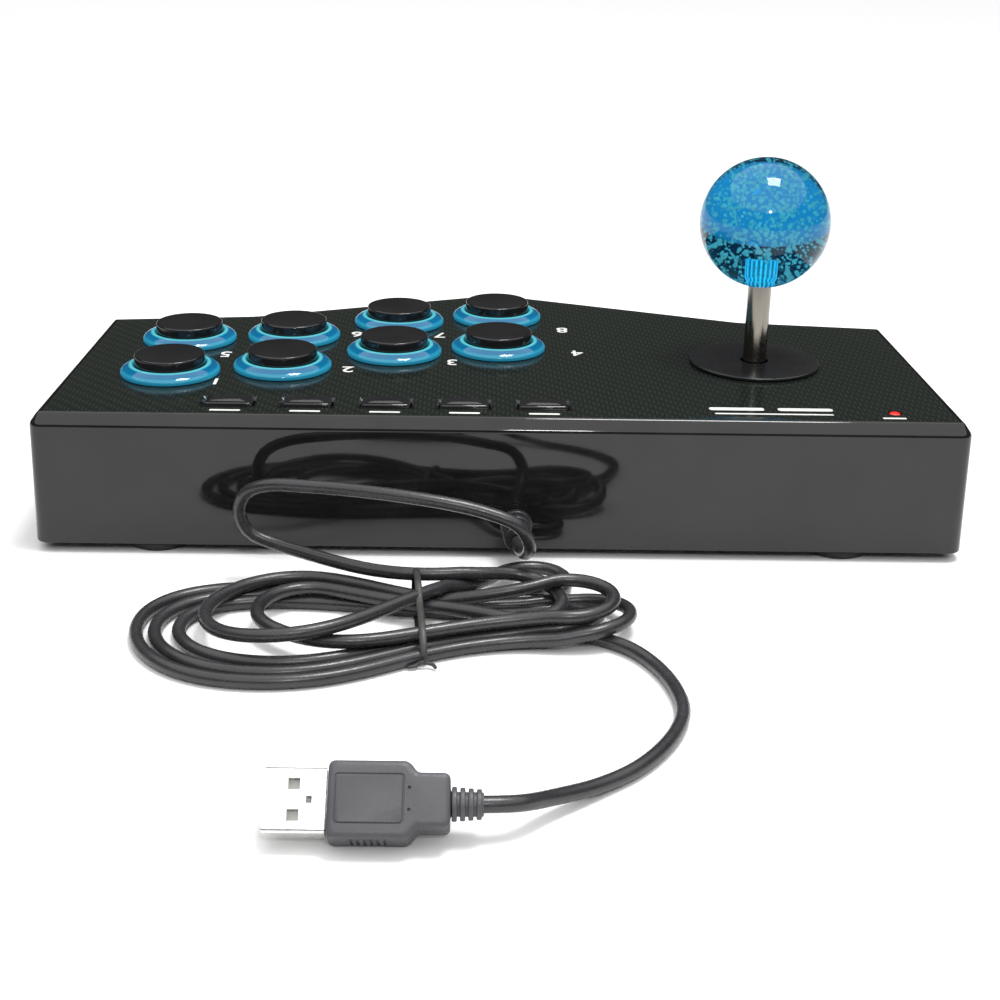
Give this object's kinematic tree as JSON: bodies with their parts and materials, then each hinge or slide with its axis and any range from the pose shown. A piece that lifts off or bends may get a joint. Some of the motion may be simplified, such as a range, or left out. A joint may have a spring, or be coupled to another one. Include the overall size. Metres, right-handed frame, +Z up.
{
  "type": "arcade joystick panel",
  "caption": "Desktop arcade joystick panel: low gloss black case, ball-top lever, round buttons in clear blue rims, function keys and a USB lead folded into a tied hank.",
  "frame": {"origin": "on the surface the feet stand on, under the middle of the case", "axes": "+Z up, +Y towards the rear wall and the lead, -Y towards the player, +X towards the buttons' outer end"},
  "size_m": [0.237, 0.2568, 0.094],
  "materials": {
    "case": "piano gloss black ABS, slight swirl marks",
    "overlay": "glossy dark green-black printed sheet with a fine woven pattern",
    "base": "fine spark-textured black ABS",
    "feet": "matt black rubber",
    "screws": "zinc plated steel",
    "rims": "clear blue moulded plastic",
    "plungers": "black ABS, satin top",
    "switches": "black phenolic",
    "keys": "gloss black ABS",
    "boards": "green solder mask",
    "lamp": "red diffused epoxy",
    "ball": "clear blue acrylic full of small air bubbles",
    "steel": "nickel plated, polished",
    "mechanism": "black nylon",
    "actuator": "white nylon",
    "disc": "gloss black",
    "cord": "satin black PVC",
    "tie": "black plastic coated wire",
    "plug": "satin black PVC moulding",
    "plug_steel": "bright nickel plated steel"
  },
  "bodies": {
    "panel_case": {"top_shell": "case", "panel_overlay": "overlay", "base_plate": "base", "foot_rear_left": "feet", "foot_rear_right": "feet", "foot_front_left": "feet", "foot_front_right": "feet", "case_screw_1": "screws", "case_screw_2": "screws", "case_screw_3": "screws", "case_screw_4": "screws", "button_rim_1": "rims", "button_rim_2": "rims", "button_rim_3": "rims", "button_rim_4": "rims", "button_rim_5": "rims", "button_rim_6": "rims", "button_rim_7": "rims", "button_rim_8": "rims", "button_switch_1": "switches", "button_switch_2": "switches", "button_switch_3": "switches", "button_switch_4": "switches", "button_switch_5": "switches", "button_switch_6": "switches", "button_switch_7": "switches", "button_switch_8": "switches", "control_board": "boards", "status_led": "lamp", "stick_housing": "mechanism", "stick_switch_board": "boards", "restrictor_gate": "mechanism", "strain_relief": "cord", "cord_lead": "cord", "cord_hank": "cord", "cord_tail": "cord", "cord_tie": "tie", "plug_overmould": "plug", "plug_shell": "plug_steel"},
    "button_1": {"button_plunger_1": "plungers"},
    "button_2": {"button_plunger_2": "plungers"},
    "button_3": {"button_plunger_3": "plungers"},
    "button_4": {"button_plunger_4": "plungers"},
    "button_5": {"button_plunger_5": "plungers"},
    "button_6": {"button_plunger_6": "plungers"},
    "button_7": {"button_plunger_7": "plungers"},
    "button_8": {"button_plunger_8": "plungers"},
    "key_1": {"function_key_1": "keys"},
    "key_2": {"function_key_2": "keys"},
    "key_3": {"function_key_3": "keys"},
    "key_4": {"function_key_4": "keys"},
    "key_5": {"function_key_5": "keys"},
    "lever_gimbal": {"stick_gimbal": "actuator"},
    "lever": {"ball_top": "ball", "ball_insert": "steel", "stick_shaft": "steel", "stick_actuator": "actuator", "centring_spring": "steel"},
    "dust_slider_body": {"dust_slider": "mechanism"},
    "dust_disc_body": {"dust_disc": "disc"}
  },
  "joints": [
    {"name": "button_1_press", "type": "slide", "parent": "panel_case", "child": "button_1", "axis": [0, 0, -1], "range_m": [0, 0.0025], "stiffness_N_per_m": 250},
    {"name": "button_2_press", "type": "slide", "parent": "panel_case", "child": "button_2", "axis": [0, 0, -1], "range_m": [0, 0.0025], "stiffness_N_per_m": 250},
    {"name": "button_3_press", "type": "slide", "parent": "panel_case", "child": "button_3", "axis": [0, 0, -1], "range_m": [0, 0.0025], "stiffness_N_per_m": 250},
    {"name": "button_4_press", "type": "slide", "parent": "panel_case", "child": "button_4", "axis": [0, 0, -1], "range_m": [0, 0.0025], "stiffness_N_per_m": 250},
    {"name": "button_5_press", "type": "slide", "parent": "panel_case", "child": "button_5", "axis": [0, 0, -1], "range_m": [0, 0.0025], "stiffness_N_per_m": 250},
    {"name": "button_6_press", "type": "slide", "parent": "panel_case", "child": "button_6", "axis": [0, 0, -1], "range_m": [0, 0.0025], "stiffness_N_per_m": 250},
    {"name": "button_7_press", "type": "slide", "parent": "panel_case", "child": "button_7", "axis": [0, 0, -1], "range_m": [0, 0.0025], "stiffness_N_per_m": 250},
    {"name": "button_8_press", "type": "slide", "parent": "panel_case", "child": "button_8", "axis": [0, 0, -1], "range_m": [0, 0.0025], "stiffness_N_per_m": 250},
    {"name": "key_1_press", "type": "slide", "parent": "panel_case", "child": "key_1", "axis": [0, 0, -1], "range_m": [0, 0.0007], "stiffness_N_per_m": 600},
    {"name": "key_2_press", "type": "slide", "parent": "panel_case", "child": "key_2", "axis": [0, 0, -1], "range_m": [0, 0.0007], "stiffness_N_per_m": 600},
    {"name": "key_3_press", "type": "slide", "parent": "panel_case", "child": "key_3", "axis": [0, 0, -1], "range_m": [0, 0.0007], "stiffness_N_per_m": 600},
    {"name": "key_4_press", "type": "slide", "parent": "panel_case", "child": "key_4", "axis": [0, 0, -1], "range_m": [0, 0.0007], "stiffness_N_per_m": 600},
    {"name": "key_5_press", "type": "slide", "parent": "panel_case", "child": "key_5", "axis": [0, 0, -1], "range_m": [0, 0.0007], "stiffness_N_per_m": 600},
    {"name": "lever_forward_back", "type": "hinge", "parent": "panel_case", "child": "lever_gimbal", "pos_m": [-0.071, 0.0107, 0.025], "axis": [1, 0, 0], "range_deg": [-11, 11], "stiffness_Nm_per_rad": 0.4},
    {"name": "lever_left_right", "type": "hinge", "parent": "lever_gimbal", "child": "lever", "pos_m": [-0.071, 0.0107, 0.025], "axis": [0, 1, 0], "range_deg": [-11, 11], "stiffness_Nm_per_rad": 0.4},
    {"name": "dust_slide_left_right", "type": "slide", "parent": "panel_case", "child": "dust_slider_body", "axis": [1, 0, 0], "range_m": [-0.0026, 0.0026]},
    {"name": "dust_slide_forward_back", "type": "slide", "parent": "dust_slider_body", "child": "dust_disc_body", "axis": [0, 1, 0], "range_m": [-0.0026, 0.0026]}
  ],
  "couplings": [
    {"joint": "dust_slide_left_right", "follows": "lever_left_right", "m_per_rad": 0.0127},
    {"joint": "dust_slide_forward_back", "follows": "lever_forward_back", "m_per_rad": -0.0127}
  ]
}
